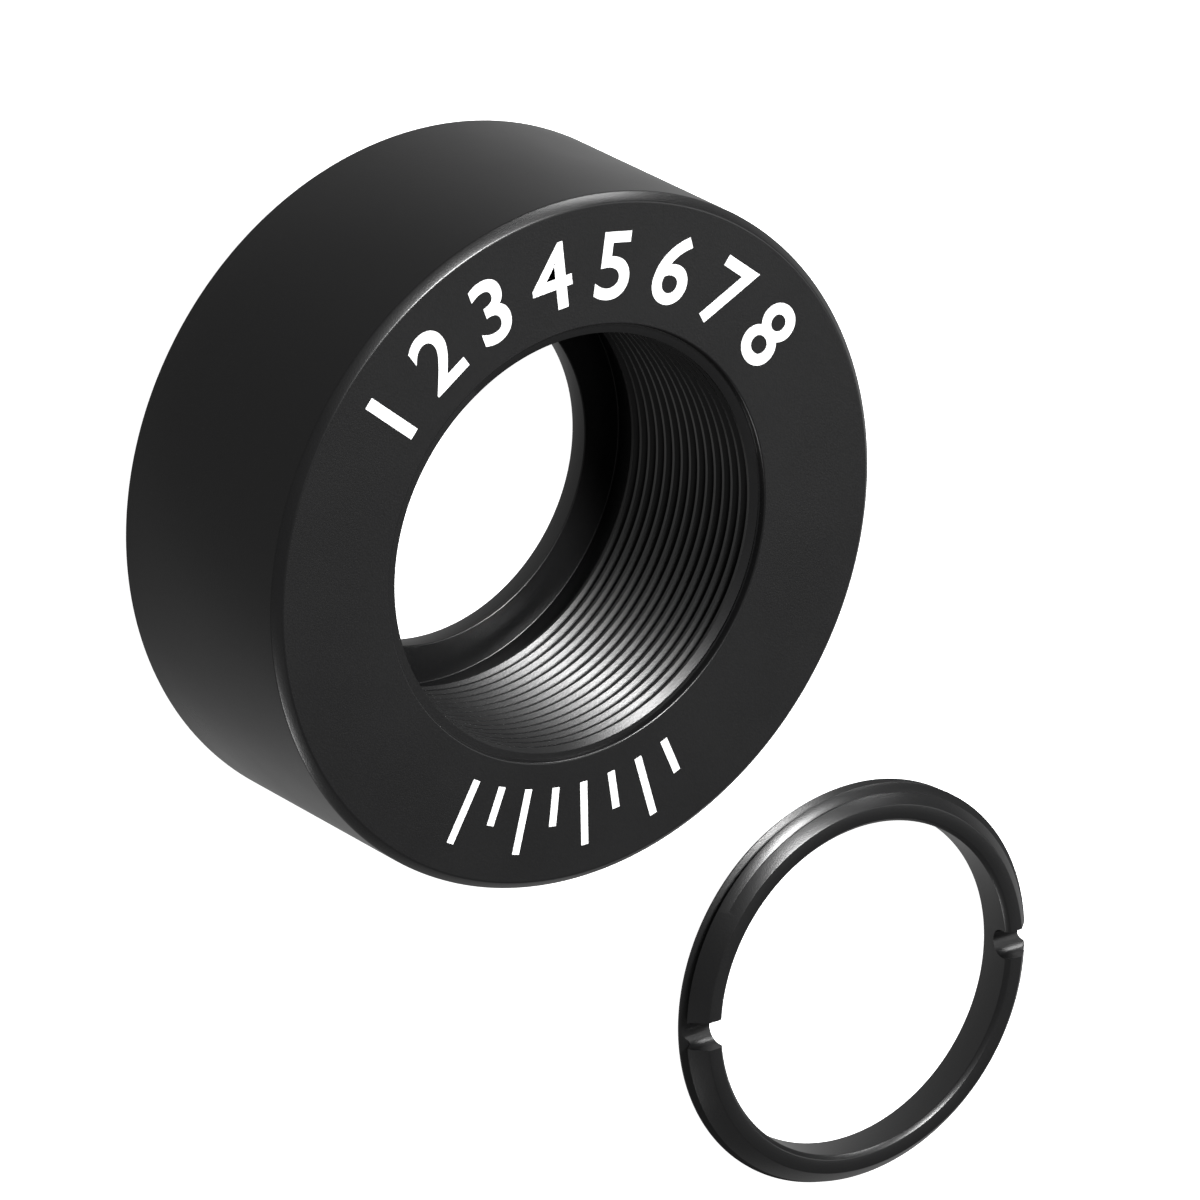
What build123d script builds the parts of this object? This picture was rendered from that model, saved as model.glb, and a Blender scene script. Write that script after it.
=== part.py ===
import os
from math import cos, radians, sin, tan

from build123d import *

# Lens mount adapter for a small round optic, with its retaining ring taken off beside it.
# Millimetres. Z is the optical axis of the adapter, which stands on its back face at z = 0.

# Adapter body
outer_dia = 25.4
wall_thickness = 4.825
body_length = 9.65
outer_chamfer = 0.3
lip_thickness = 0.8
seat_width = 1.375
relief_clearance = 0.1
relief_length = 1.25
mouth_clearance = 0.125
mouth_depth = 0.23

# Thread shared by the bore and the ring, 60 degree metric form
thread_pitch = 0.5
flank_angle = 30
bore_thread_depth = 0.5413 * thread_pitch
ring_thread_depth = 0.6134 * thread_pitch
ring_root_flat = thread_pitch / 6
cutter_overlap = 0.04
stock = 2 * thread_pitch

# Retaining ring
ring_thickness = 1.5
ring_wall = 1.325
ring_bore_chamfer = 0.15
ring_fit = 0.05
ring_top_bevel = 0.65
ring_bottom_bevel = 0.4
slot_width = 1.1
slot_depth = 0.9

# Place of the ring on the floor beside the adapter
ring_gap = 10.2
ring_bearing = -53.4

# Radii, heights and centres that follow from the sizes above
outer_r = outer_dia / 2
root_r = outer_r - wall_thickness
crest_r = root_r - bore_thread_depth
aperture_r = root_r - seat_width
relief_r = root_r + relief_clearance
mouth_r = root_r + mouth_clearance
seat_z = lip_thickness
relief_top_z = seat_z + relief_length
groove_start_z = relief_top_z - 1.25 * thread_pitch
groove_end_z = body_length + 0.75 * stock
ring_r = root_r - ring_fit
ring_bore_r = ring_r - ring_wall
ring_distance = outer_r + ring_gap + ring_r
ring_x = ring_distance * cos(radians(ring_bearing))
ring_y = ring_distance * sin(radians(ring_bearing))


def groove_profile(turns, outward, depth, root_flat=0):
    """Thread groove section at the start of a helix, cut in the outward direction."""
    mouth = root_flat / 2 + (depth + cutter_overlap) * tan(radians(flank_angle))
    root = [(depth, -root_flat / 2), (depth, root_flat / 2)] if root_flat else [(depth, 0)]
    with BuildSketch(Plane(turns @ 0, x_dir=outward, z_dir=turns % 0)) as profile:
        with BuildLine():
            Polyline((-cutter_overlap, -mouth), *root, (-cutter_overlap, mouth), close=True)
        make_face()
    return profile.sketch


os.makedirs("parts", exist_ok=True)

# Adapter body: turned blank with a lip for the optic to rest on, and stock at the mouth
with BuildPart() as adapter_body:
    with BuildSketch(Plane.XZ):
        with BuildLine():
            Polyline(
                (aperture_r, 0),
                (outer_r - outer_chamfer, 0),
                (outer_r, outer_chamfer),
                (outer_r, body_length - outer_chamfer),
                (outer_r - outer_chamfer, body_length),
                (relief_r + stock, body_length),
                (relief_r + stock, body_length + stock),
                (crest_r, body_length + stock),
                (crest_r, seat_z),
                (aperture_r, seat_z),
                close=True,
            )
        make_face()
    revolve(axis=Axis.Z)
    # Internal thread: one helical groove from inside the relief out through the mouth
    with BuildLine() as bore_helix:
        Helix(
            pitch=thread_pitch,
            height=groove_end_z - groove_start_z,
            radius=crest_r,
            center=(0, 0, groove_start_z),
        )
    bore_turns = bore_helix.edges()[0]
    bore_groove = groove_profile(bore_turns, (1, 0, 0), bore_thread_depth)
    sweep(bore_groove, path=bore_turns, is_frenet=True, mode=Mode.SUBTRACT)
    # Relief between the thread and the lens seat
    with BuildSketch(Plane.XZ):
        with Locations((0, seat_z)):
            Rectangle(relief_r, relief_length, align=(Align.MIN, Align.MIN))
    revolve(axis=Axis.Z, mode=Mode.SUBTRACT)
    # Front face and countersunk mouth, turned last so that the groove runs out cleanly
    with BuildSketch(Plane.XZ):
        with BuildLine():
            Polyline(
                (0, body_length - mouth_depth),
                (crest_r, body_length - mouth_depth),
                (mouth_r, body_length),
                (outer_r, body_length),
                (outer_r, body_length + 2 * stock),
                (0, body_length + 2 * stock),
                close=True,
            )
        make_face()
    revolve(axis=Axis.Z, mode=Mode.SUBTRACT)
adapter_body.part.label = "adapter_body"
adapter_body.part.color = Color(0.05, 0.05, 0.055)

# Retaining ring: a threaded tube with stock at both ends, turned down to the ring's section
with BuildPart() as retaining_ring:
    with BuildSketch(Plane.XZ):
        with Locations((ring_bore_r, -stock)):
            Rectangle(ring_r - ring_bore_r, ring_thickness + 2 * stock, align=(Align.MIN, Align.MIN))
    revolve(axis=Axis.Z)
    # External thread
    with BuildLine() as ring_helix:
        Helix(
            pitch=thread_pitch,
            height=ring_thickness + stock,
            radius=ring_r,
            center=(0, 0, -stock / 2),
        )
    ring_turns = ring_helix.edges()[0]
    ring_groove = groove_profile(ring_turns, (-1, 0, 0), ring_thread_depth, ring_root_flat)
    sweep(ring_groove, path=ring_turns, is_frenet=True, mode=Mode.SUBTRACT)
    # Both faces with their bevels, which carry on past the crests
    with BuildSketch(Plane.XZ):
        with BuildLine():
            Polyline(
                (ring_bore_r, 0),
                (ring_r - ring_bottom_bevel, 0),
                (ring_r + cutter_overlap, ring_bottom_bevel + cutter_overlap),
                (ring_r + cutter_overlap, ring_thickness - ring_top_bevel - cutter_overlap),
                (ring_r - ring_top_bevel, ring_thickness),
                (ring_bore_r + ring_bore_chamfer, ring_thickness),
                (ring_bore_r, ring_thickness - ring_bore_chamfer),
                close=True,
            )
        make_face()
    revolve(axis=Axis.Z, mode=Mode.INTERSECT)
    # Two spanner slots with round bottoms, cut straight across
    with BuildSketch(Plane.YZ):
        with Locations((0, ring_thickness - slot_depth + slot_width / 2)):
            Circle(slot_width / 2)
            Rectangle(slot_width, slot_depth, align=(Align.CENTER, Align.MIN))
    extrude(amount=ring_r + stock, both=True, mode=Mode.SUBTRACT)
retaining_ring.part.label = "retaining_ring"
retaining_ring.part.color = Color(0.05, 0.05, 0.055)
retaining_ring.part.locate(Location((ring_x, ring_y, 0)))

export_step(adapter_body.part, "parts/adapter_body.step")
export_step(retaining_ring.part, "parts/retaining_ring.step")
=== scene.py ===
"""Lens mount adapter and its retaining ring: turned black anodised aluminium with white marks."""

import math

import bmesh
import bpy
from mathutils import Matrix, Vector

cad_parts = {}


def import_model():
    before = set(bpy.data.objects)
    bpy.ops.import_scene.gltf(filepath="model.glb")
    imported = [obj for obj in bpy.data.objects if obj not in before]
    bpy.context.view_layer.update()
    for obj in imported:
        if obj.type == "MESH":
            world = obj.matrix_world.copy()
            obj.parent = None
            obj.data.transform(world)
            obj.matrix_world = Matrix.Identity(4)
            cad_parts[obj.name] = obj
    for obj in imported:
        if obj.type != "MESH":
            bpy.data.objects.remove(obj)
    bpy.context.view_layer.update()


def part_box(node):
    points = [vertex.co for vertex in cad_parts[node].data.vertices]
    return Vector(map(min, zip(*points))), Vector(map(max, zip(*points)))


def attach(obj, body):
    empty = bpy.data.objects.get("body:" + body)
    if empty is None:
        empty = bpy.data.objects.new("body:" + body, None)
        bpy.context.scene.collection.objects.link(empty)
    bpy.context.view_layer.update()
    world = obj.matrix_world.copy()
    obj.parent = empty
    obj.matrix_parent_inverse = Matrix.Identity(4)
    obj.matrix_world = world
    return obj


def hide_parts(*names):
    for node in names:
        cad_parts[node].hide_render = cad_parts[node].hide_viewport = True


MM = 0.001
TURN = 2 * math.pi

# Mesh settings: steps in a turn, the weld distance and how far a vertex may lie off a level
STEPS = 240
SLOT_STEPS = 48
WELD = 0.0004 * MM
LEVEL_TOLERANCE = 0.001 * MM
SHARP_ANGLE = math.radians(32)
ROUNDED_ANGLE = math.radians(15)

# Adapter
APERTURE_R = 6.5 * MM
OUTER_CHAMFER = 0.3 * MM
LIP = 0.8 * MM
RELIEF_TOP = 2.05 * MM
RELIEF_R = 7.975 * MM
MOUTH_R = 8.0 * MM
MOUTH_FLOOR_R = 7.94 * MM
MOUTH_DEPTH = 0.23 * MM
EDGE_ROUND = 0.05 * MM

# Internal thread of the adapter
PITCH = 0.5 * MM
BORE_ROOT_R = 7.875 * MM
BORE_CREST_R = BORE_ROOT_R - 0.5413 * PITCH
BORE_CREST_FLAT = PITCH / 4
BORE_ROOT_FLAT = PITCH / 8
BORE_FIRST_CREST = 1.675 * MM
BORE_SPARE_TURNS = 2

# External thread of the retaining ring
RING_THREAD_DEPTH = 0.6134 * PITCH
RING_CREST_FLAT = PITCH / 8
RING_ROOT_FLAT = PITCH / 6
RING_FIRST_CREST = 0.25 * MM
RING_SPARE_TURNS = 4

# Retaining ring
RING_STOCK = 0.3 * MM
RING_CUTTER_OVERLAP = 0.04 * MM
RING_BEVEL_TOP = 0.65 * MM
RING_BEVEL_BOTTOM = 0.4 * MM
RING_INNER_CHAMFER = 0.15 * MM
RING_EDGE_ROUND = 0.03 * MM
SLOT_WIDTH = 1.1 * MM
SLOT_DEPTH = 0.9 * MM
SLOT_OVERHANG = 1.0 * MM

# Marks on the front face: a numbered arc on top and a row of ticks below, angles from +Y in degrees
MARK_INNER_R = 8.95 * MM
MARK_OUTER_R = 11.35 * MM
NUMBER_ARC = (-50, 54)
NUMBER_COUNT = 8
TICK_ARC = (157, 210)
TICK_COUNT = 8
TICK_WIDTH = 0.3 * MM
SHORT_TICK = 0.6
INK_RISE = 0.012 * MM
INK_HALF = 0.7 * INK_RISE
CAPITAL_HEIGHT = 0.7
NUMBER_WEIGHT = 0.02
NUMBER_STEPS = 8

# Floor below the part, with a painted glow in place of a bounce card's light, that fades along one
# direction
FLOOR_SIZE = 3
FLOOR_DROP = 0.02 * MM
PAINTED_GLOW_DIRECTION = (-0.817, 0.577, 0)
PAINTED_GLOW_START = 2 * MM
PAINTED_GLOW_END = 14 * MM
PAINTED_GLOW_STRENGTH = (0.37, 0.13)
WORLD_STRENGTH = 0.18

# Softboxes: name, place, height of the spot they face, size and power
SOFTBOXES = [
    ("key_softbox", (0.045, 0.26, 0.37), 0.008, 0.12, 4.0),
    ("rim_softbox", (0.3, 0.42, 0.06), 0.005, 0.2, 1.8),
    ("fill_softbox", (0.46, -0.02, 0.46), 0.008, 0.34, 0.6),
    ("left_strip", (-0.36, -0.42, 0.05), 0.005, 0.15, 1.0),
]

# The photograph's camera, in the part's frame
CAMERA_PLACE = Vector((-0.22659, 0.15817, 0.33399))
CAMERA_VIEW = Vector((0.53215, -0.37542, -0.75887))
CAMERA_RIGHT = Vector((0.81565, -0.01297, 0.57839))
CAMERA_SENSOR = 36
CAMERA_LENS = 367.9
CAMERA_CLIP = (0.01, 20)


def link_object(name, data):
    """Put a new object with this data into the scene."""
    item = bpy.data.objects.new(name, data)
    bpy.context.scene.collection.objects.link(item)
    return item


def welded_object(bm, name):
    """Weld a bmesh, point its faces outward and turn it into an object."""
    bmesh.ops.remove_doubles(bm, verts=bm.verts, dist=WELD)
    bmesh.ops.recalc_face_normals(bm, faces=bm.faces)
    mesh = bpy.data.meshes.new(name)
    bm.to_mesh(mesh)
    bm.free()
    return link_object(name, mesh)


def finish_mesh(bm, name, material):
    """Turn a bmesh into a smooth-shaded object with sharp corners and flat faces kept."""
    bmesh.ops.remove_doubles(bm, verts=bm.verts, dist=WELD)
    for face in bm.faces:
        face.smooth = True
    for edge in bm.edges:
        if len(edge.link_faces) == 2:
            edge.smooth = edge.calc_face_angle(0) < SHARP_ANGLE
    piece = welded_object(bm, name)
    piece.data.materials.append(material)
    flat = piece.modifiers.new("flat_faces", "WEIGHTED_NORMAL")
    flat.keep_sharp = True
    return piece


def absorb(bm, other):
    """Add another bmesh to a bmesh and free it."""
    mesh = bpy.data.meshes.new("absorbed")
    other.to_mesh(mesh)
    other.free()
    bm.from_mesh(mesh)
    bpy.data.meshes.remove(mesh)


def turn_profile(bm, points, closed=False):
    """Spin a section of (radius, height) points a full turn about Z."""
    verts = [bm.verts.new((radius, 0, height)) for radius, height in points]
    pairs = list(zip(verts, verts[1:]))
    if closed:
        pairs.append((verts[-1], verts[0]))
    edges = [bm.edges.new(pair) for pair in pairs]
    bmesh.ops.spin(
        bm,
        geom=verts + edges,
        cent=(0, 0, 0),
        axis=(0, 0, 1),
        angle=TURN,
        steps=STEPS,
        use_merge=True,
    )


def round_edges(bm, width):
    """Break the sharp edges of a turned shell with a small radius."""
    sharp = [
        edge
        for edge in bm.edges
        if len(edge.link_faces) == 2 and edge.calc_face_angle(0) > ROUNDED_ANGLE
    ]
    bmesh.ops.bevel(
        bm,
        geom=sharp,
        offset=width,
        offset_type="OFFSET",
        segments=3,
        profile=0.5,
        affect="EDGES",
        material=-1,
        clamp_overlap=True,
    )


def screw_thread(bm, crest_r, root_r, crest_flat, root_flat, start, turns):
    """Spin one pitch of a 60 degree thread section along a right-hand helix, turn after turn."""
    flank = (PITCH - crest_flat - root_flat) / 2
    section = [
        (crest_r, 0),
        (crest_r, crest_flat),
        (root_r, crest_flat + flank),
        (root_r, crest_flat + flank + root_flat),
        (crest_r, PITCH),
    ]
    verts = [bm.verts.new((radius, 0, start + rise)) for radius, rise in section]
    edges = [bm.edges.new(pair) for pair in zip(verts, verts[1:])]
    bmesh.ops.spin(
        bm,
        geom=verts + edges,
        cent=(0, 0, 0),
        axis=(0, 0, 1),
        dvec=(0, 0, PITCH / STEPS),
        angle=TURN,
        steps=STEPS,
    )
    one_turn = bm.verts[:] + bm.edges[:] + bm.faces[:]
    for turn in range(1, turns):
        copy = bmesh.ops.duplicate(bm, geom=one_turn)
        raised = [item for item in copy["geom"] if isinstance(item, bmesh.types.BMVert)]
        bmesh.ops.translate(bm, verts=raised, vec=(0, 0, turn * PITCH))
    bmesh.ops.remove_doubles(bm, verts=bm.verts, dist=WELD)


def cut_level(bm, height, above):
    """Trim away what lies above or below a height."""
    bmesh.ops.bisect_plane(
        bm,
        geom=bm.verts[:] + bm.edges[:] + bm.faces[:],
        dist=LEVEL_TOLERANCE / 10,
        plane_co=(0, 0, height),
        plane_no=(0, 0, 1),
        clear_outer=above,
        clear_inner=not above,
    )


def fill_level(bm, height):
    """Close the open edges that lie at a height with flat faces."""
    rims = [
        edge
        for edge in bm.edges
        if edge.is_boundary
        and all(abs(vert.co.z - height) < LEVEL_TOLERANCE for vert in edge.verts)
    ]
    bmesh.ops.triangle_fill(bm, use_beauty=True, edges=rims, normal=(0, 0, 1))


def adapter_shell(outer_r, length, material):
    """The adapter: a turned shell whose bore wall is a real screw thread."""
    face_z = length - INK_RISE
    mouth_z = face_z - MOUTH_DEPTH
    bm = bmesh.new()
    turn_profile(
        bm,
        [
            (RELIEF_R, RELIEF_TOP),
            (RELIEF_R, LIP),
            (APERTURE_R, LIP),
            (APERTURE_R, 0),
            (outer_r - OUTER_CHAMFER, 0),
            (outer_r, OUTER_CHAMFER),
            (outer_r, face_z - OUTER_CHAMFER),
            (outer_r - OUTER_CHAMFER, face_z),
            (MOUTH_R, face_z),
            (MOUTH_FLOOR_R, mouth_z),
        ],
    )
    round_edges(bm, EDGE_ROUND)

    thread = bmesh.new()
    start = BORE_FIRST_CREST - BORE_CREST_FLAT / 2 - BORE_SPARE_TURNS * PITCH
    turns = math.ceil((length - start) / PITCH) + BORE_SPARE_TURNS
    screw_thread(thread, BORE_CREST_R, BORE_ROOT_R, BORE_CREST_FLAT, BORE_ROOT_FLAT, start, turns)
    cut_level(thread, mouth_z, above=True)
    cut_level(thread, RELIEF_TOP, above=False)
    absorb(bm, thread)
    fill_level(bm, mouth_z)
    fill_level(bm, RELIEF_TOP)
    return finish_mesh(bm, "adapter", material)


def carve(target, tool, operation):
    """Apply an exact boolean to an object and remove the tool."""
    cut = target.modifiers.new(operation.lower(), "BOOLEAN")
    cut.operation = operation
    cut.solver = "EXACT"
    cut.object = tool
    graph = bpy.context.evaluated_depsgraph_get()
    result = bpy.data.meshes.new_from_object(target.evaluated_get(graph))
    target.modifiers.clear()
    old = target.data
    target.data = result
    bpy.data.meshes.remove(old)
    bpy.data.objects.remove(tool)


def threaded_rod(ring_r, thickness):
    """A closed rod with the ring's thread, longer than the ring by its stock at both ends."""
    bm = bmesh.new()
    root_r = ring_r - RING_THREAD_DEPTH
    start = RING_FIRST_CREST - RING_CREST_FLAT / 2 - RING_SPARE_TURNS * PITCH
    turns = 2 * RING_SPARE_TURNS + 1
    screw_thread(bm, ring_r, root_r, RING_CREST_FLAT, RING_ROOT_FLAT, start, turns)
    cut_level(bm, thickness + RING_STOCK, above=True)
    cut_level(bm, -RING_STOCK, above=False)
    for side in (1, -1):
        rim = [edge for edge in bm.edges if edge.is_boundary and edge.verts[0].co.z * side > 0]
        bmesh.ops.triangle_fill(bm, use_beauty=True, edges=rim)
    return welded_object(bm, "threaded_rod")


def ring_section(ring_r, thickness):
    """The ring's bevelled section, which carries on just past the thread's crests."""
    bm = bmesh.new()
    past_r = ring_r + RING_CUTTER_OVERLAP
    turn_profile(
        bm,
        [
            (APERTURE_R, 0),
            (ring_r - RING_BEVEL_BOTTOM, 0),
            (past_r, RING_BEVEL_BOTTOM + RING_CUTTER_OVERLAP),
            (past_r, thickness - RING_BEVEL_TOP - RING_CUTTER_OVERLAP),
            (ring_r - RING_BEVEL_TOP, thickness),
            (APERTURE_R + RING_INNER_CHAMFER, thickness),
            (APERTURE_R, thickness - RING_INNER_CHAMFER),
        ],
        closed=True,
    )
    bmesh.ops.remove_doubles(bm, verts=bm.verts, dist=WELD)
    round_edges(bm, RING_EDGE_ROUND)
    return welded_object(bm, "ring_section")


def slot_cutter(ring_r, thickness):
    """A bar with a round underside that cuts both spanner slots."""
    bm = bmesh.new()
    bmesh.ops.create_cone(
        bm,
        cap_ends=True,
        segments=SLOT_STEPS,
        radius1=SLOT_WIDTH / 2,
        radius2=SLOT_WIDTH / 2,
        depth=2 * (ring_r + SLOT_OVERHANG),
        matrix=Matrix.Rotation(math.pi / 2, 4, "Y"),
    )
    for vert in bm.verts:
        if vert.co.z > LEVEL_TOLERANCE:
            vert.co.z += SLOT_DEPTH
    bmesh.ops.translate(bm, verts=bm.verts, vec=(0, 0, thickness - SLOT_DEPTH + SLOT_WIDTH / 2))
    return welded_object(bm, "slot_cutter")


def ring_shell(centre, ring_r, thickness, material):
    """The retaining ring: a threaded rod cut to the ring's section, then slotted."""
    ring = threaded_rod(ring_r, thickness)
    carve(ring, ring_section(ring_r, thickness), "INTERSECT")
    carve(ring, slot_cutter(ring_r, thickness), "DIFFERENCE")
    bm = bmesh.new()
    bm.from_mesh(ring.data)
    bpy.data.objects.remove(ring)
    bmesh.ops.translate(bm, verts=bm.verts, vec=centre)
    return finish_mesh(bm, "slotted_ring", material)


def thick_number(text, height):
    """A plain number as a closed bmesh of ink thickness, centred on the XY plane."""
    font = bpy.data.curves.new("number", "FONT")
    font.body = text
    font.align_x = "CENTER"
    font.size = height / CAPITAL_HEIGHT
    font.offset = height * NUMBER_WEIGHT
    font.resolution_u = NUMBER_STEPS
    font.extrude = INK_HALF
    holder = link_object("number", font)
    graph = bpy.context.evaluated_depsgraph_get()
    mesh = bpy.data.meshes.new_from_object(holder.evaluated_get(graph))
    bm = bmesh.new()
    bm.from_mesh(mesh)
    bmesh.ops.remove_doubles(bm, verts=bm.verts, dist=WELD)
    bpy.data.objects.remove(holder)
    bpy.data.curves.remove(font)
    bpy.data.meshes.remove(mesh)
    return bm


def thick_tick(reach):
    """A radial tick as a box of ink thickness, with its inner end at the origin."""
    bm = bmesh.new()
    bmesh.ops.create_cube(bm, size=1)
    bmesh.ops.scale(bm, verts=bm.verts, vec=(TICK_WIDTH, reach, 2 * INK_HALF))
    bmesh.ops.translate(bm, verts=bm.verts, vec=(0, reach / 2, 0))
    return bm


def spread(arc, count):
    """Evenly spaced angles over an arc, in radians."""
    first, last = (math.radians(value) for value in arc)
    return [first + (last - first) * index / (count - 1) for index in range(count)]


def printed_marks(length, material):
    """Numbers along the top of the face and a row of long and short ticks along the bottom."""
    marks = bmesh.new()
    height = MARK_OUTER_R - MARK_INNER_R
    numbers = [
        (thick_number(str(index + 1), height), angle)
        for index, angle in enumerate(spread(NUMBER_ARC, NUMBER_COUNT))
    ]
    ticks = [
        (thick_tick(height if index % 2 else height * SHORT_TICK), angle)
        for index, angle in enumerate(spread(TICK_ARC, TICK_COUNT))
    ]
    for mark, angle in numbers + ticks:
        turn = Matrix.Rotation(-angle, 3, "Z")
        bmesh.ops.translate(mark, verts=mark.verts, vec=(0, MARK_INNER_R, 0))
        bmesh.ops.rotate(mark, verts=mark.verts, cent=(0, 0, 0), matrix=turn)
        absorb(marks, mark)
    bmesh.ops.translate(marks, verts=marks.verts, vec=(0, 0, length - INK_HALF))
    return finish_mesh(marks, "scale_marks", material)


def new_material(name):
    """A node material with its nodes, links, main shader and object coordinates."""
    material = bpy.data.materials.new(name)
    material.use_nodes = True
    nodes = material.node_tree.nodes
    place = nodes.new("ShaderNodeTexCoord").outputs["Object"]
    return material, nodes, material.node_tree.links, nodes["Principled BSDF"], place


def grey(value, blue=1):
    """A grey colour with its blue raised by a factor."""
    return (value, value, value * blue, 1)


def anodised_metal():
    """Black anodised aluminium with the fine grain of a blasted surface."""
    material, nodes, links, shader, place = new_material("black_anodised")
    grain = nodes.new("ShaderNodeTexNoise")
    grain.inputs["Scale"].default_value = 18000
    grain.inputs["Detail"].default_value = 3
    tone = nodes.new("ShaderNodeTexNoise")
    tone.inputs["Scale"].default_value = 260
    tone.inputs["Detail"].default_value = 2
    colour = nodes.new("ShaderNodeValToRGB")
    colour.color_ramp.elements[0].color = grey(0.002, blue=1.05)
    colour.color_ramp.elements[1].color = grey(0.006, blue=1.05)
    rough = nodes.new("ShaderNodeMapRange")
    rough.inputs["To Min"].default_value = 0.25
    rough.inputs["To Max"].default_value = 0.35
    bump = nodes.new("ShaderNodeBump")
    bump.inputs["Strength"].default_value = 0.35
    bump.inputs["Distance"].default_value = 0.01 * MM
    links.new(place, grain.inputs["Vector"])
    links.new(place, tone.inputs["Vector"])
    links.new(grain.outputs["Fac"], colour.inputs["Fac"])
    links.new(colour.outputs["Color"], shader.inputs["Base Color"])
    links.new(tone.outputs["Fac"], rough.inputs["Value"])
    links.new(rough.outputs["Result"], shader.inputs["Roughness"])
    links.new(grain.outputs["Fac"], bump.inputs["Height"])
    links.new(bump.outputs["Normal"], shader.inputs["Normal"])
    return material


def white_ink():
    """Dense white printed ink."""
    material, nodes, links, shader, place = new_material("white_ink")
    shader.inputs["Roughness"].default_value = 0.55
    fleck = nodes.new("ShaderNodeTexNoise")
    fleck.inputs["Scale"].default_value = 5000
    tone = nodes.new("ShaderNodeValToRGB")
    tone.color_ramp.elements[0].color = grey(0.82)
    tone.color_ramp.elements[1].color = grey(0.92)
    links.new(place, fleck.inputs["Vector"])
    links.new(fleck.outputs["Fac"], tone.inputs["Fac"])
    links.new(tone.outputs["Color"], shader.inputs["Base Color"])
    return material


def floor_paint():
    """White to the camera; dark to every other ray as painted shade for the part to reflect, with a
    painted glow in place of a bounce card's light.
    """
    material, nodes, links, shader, place = new_material("studio_floor")
    shader.inputs["Roughness"].default_value = 0.9
    shader.inputs["Emission Color"].default_value = grey(1)
    path = nodes.new("ShaderNodeLightPath")
    paint = nodes.new("ShaderNodeMix")
    paint.data_type = "RGBA"
    # Dark to every ray but the camera's: painted shade in what the part reflects
    paint.inputs["A"].default_value = grey(0.03)
    paint.inputs["B"].default_value = grey(0.8)
    along = nodes.new("ShaderNodeVectorMath")
    along.operation = "DOT_PRODUCT"
    along.inputs[1].default_value = PAINTED_GLOW_DIRECTION
    # Painted glow: floor emission fading along one direction, in place of light from a bounce card
    painted_glow_fade = nodes.new("ShaderNodeMapRange")
    painted_glow_fade.inputs["From Min"].default_value = PAINTED_GLOW_START
    painted_glow_fade.inputs["From Max"].default_value = PAINTED_GLOW_END
    painted_glow_fade.inputs["To Min"].default_value = PAINTED_GLOW_STRENGTH[0]
    painted_glow_fade.inputs["To Max"].default_value = PAINTED_GLOW_STRENGTH[1]
    glow = nodes.new("ShaderNodeMath")
    glow.operation = "MAXIMUM"
    links.new(path.outputs["Is Camera Ray"], paint.inputs["Factor"])
    links.new(paint.outputs["Result"], shader.inputs["Base Color"])
    links.new(place, along.inputs[0])
    links.new(along.outputs["Value"], painted_glow_fade.inputs["Value"])
    links.new(path.outputs["Is Camera Ray"], glow.inputs[0])
    links.new(painted_glow_fade.outputs["Result"], glow.inputs[1])
    links.new(glow.outputs["Value"], shader.inputs["Emission Strength"])
    return material


def studio_floor():
    """A large flat floor just below the part."""
    bm = bmesh.new()
    bmesh.ops.create_grid(bm, x_segments=2, y_segments=2, size=FLOOR_SIZE)
    bmesh.ops.translate(bm, verts=bm.verts, vec=(0, 0, -FLOOR_DROP))
    finish_mesh(bm, "studio_floor", floor_paint())


def soft_light(name, place, aim_z, size, power):
    """A square softbox that faces a spot on the adapter's axis."""
    light = bpy.data.lights.new(name, "AREA")
    light.size = size
    light.energy = power
    holder = link_object(name, light)
    holder.location = place
    aim = Vector((0, 0, aim_z)) - Vector(place)
    holder.rotation_euler = aim.to_track_quat("-Z", "Y").to_euler()


def studio():
    """Dim white world and the softboxes."""
    world = bpy.data.worlds.new("studio")
    bpy.context.scene.world = world
    world.use_nodes = True
    backdrop = world.node_tree.nodes["Background"]
    backdrop.inputs["Color"].default_value = grey(1)
    backdrop.inputs["Strength"].default_value = WORLD_STRENGTH
    for name, place, aim_z, size, power in SOFTBOXES:
        soft_light(name, place, aim_z, size, power)


def photograph_camera():
    """The camera of the photograph: long lens, rolled with the part's axis."""
    camera = bpy.data.cameras.new("photograph")
    camera.sensor_width = CAMERA_SENSOR
    camera.lens = CAMERA_LENS
    camera.clip_start = CAMERA_CLIP[0]
    camera.clip_end = CAMERA_CLIP[1]
    holder = link_object("photograph", camera)
    view = CAMERA_VIEW.normalized()
    right = (CAMERA_RIGHT - view * CAMERA_RIGHT.dot(view)).normalized()
    up = right.cross(view)
    turn = Matrix((right, up, -view)).transposed()
    holder.matrix_world = Matrix.Translation(CAMERA_PLACE) @ turn.to_4x4()
    bpy.context.scene.camera = holder


def main():
    """Load the frame, build both pieces and the marks around it from its sizes, and light them."""
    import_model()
    body_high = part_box("adapter_body")[1]
    ring_low, ring_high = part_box("retaining_ring")
    ring_r = (ring_high[1] - ring_low[1]) / 2
    ring_centre = Vector((ring_low[0] + ring_r, ring_low[1] + ring_r, 0))
    metal = anodised_metal()

    adapter = adapter_shell(body_high[0], body_high[2], metal)
    ring = ring_shell(ring_centre, ring_r, ring_high[2], metal)
    marks = printed_marks(body_high[2], white_ink())
    for piece in (adapter, ring, marks):
        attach(piece, "root")
    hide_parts("adapter_body")
    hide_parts("retaining_ring")

    studio_floor()
    studio()
    photograph_camera()
    bpy.context.scene.view_settings.view_transform = "Standard"


main()
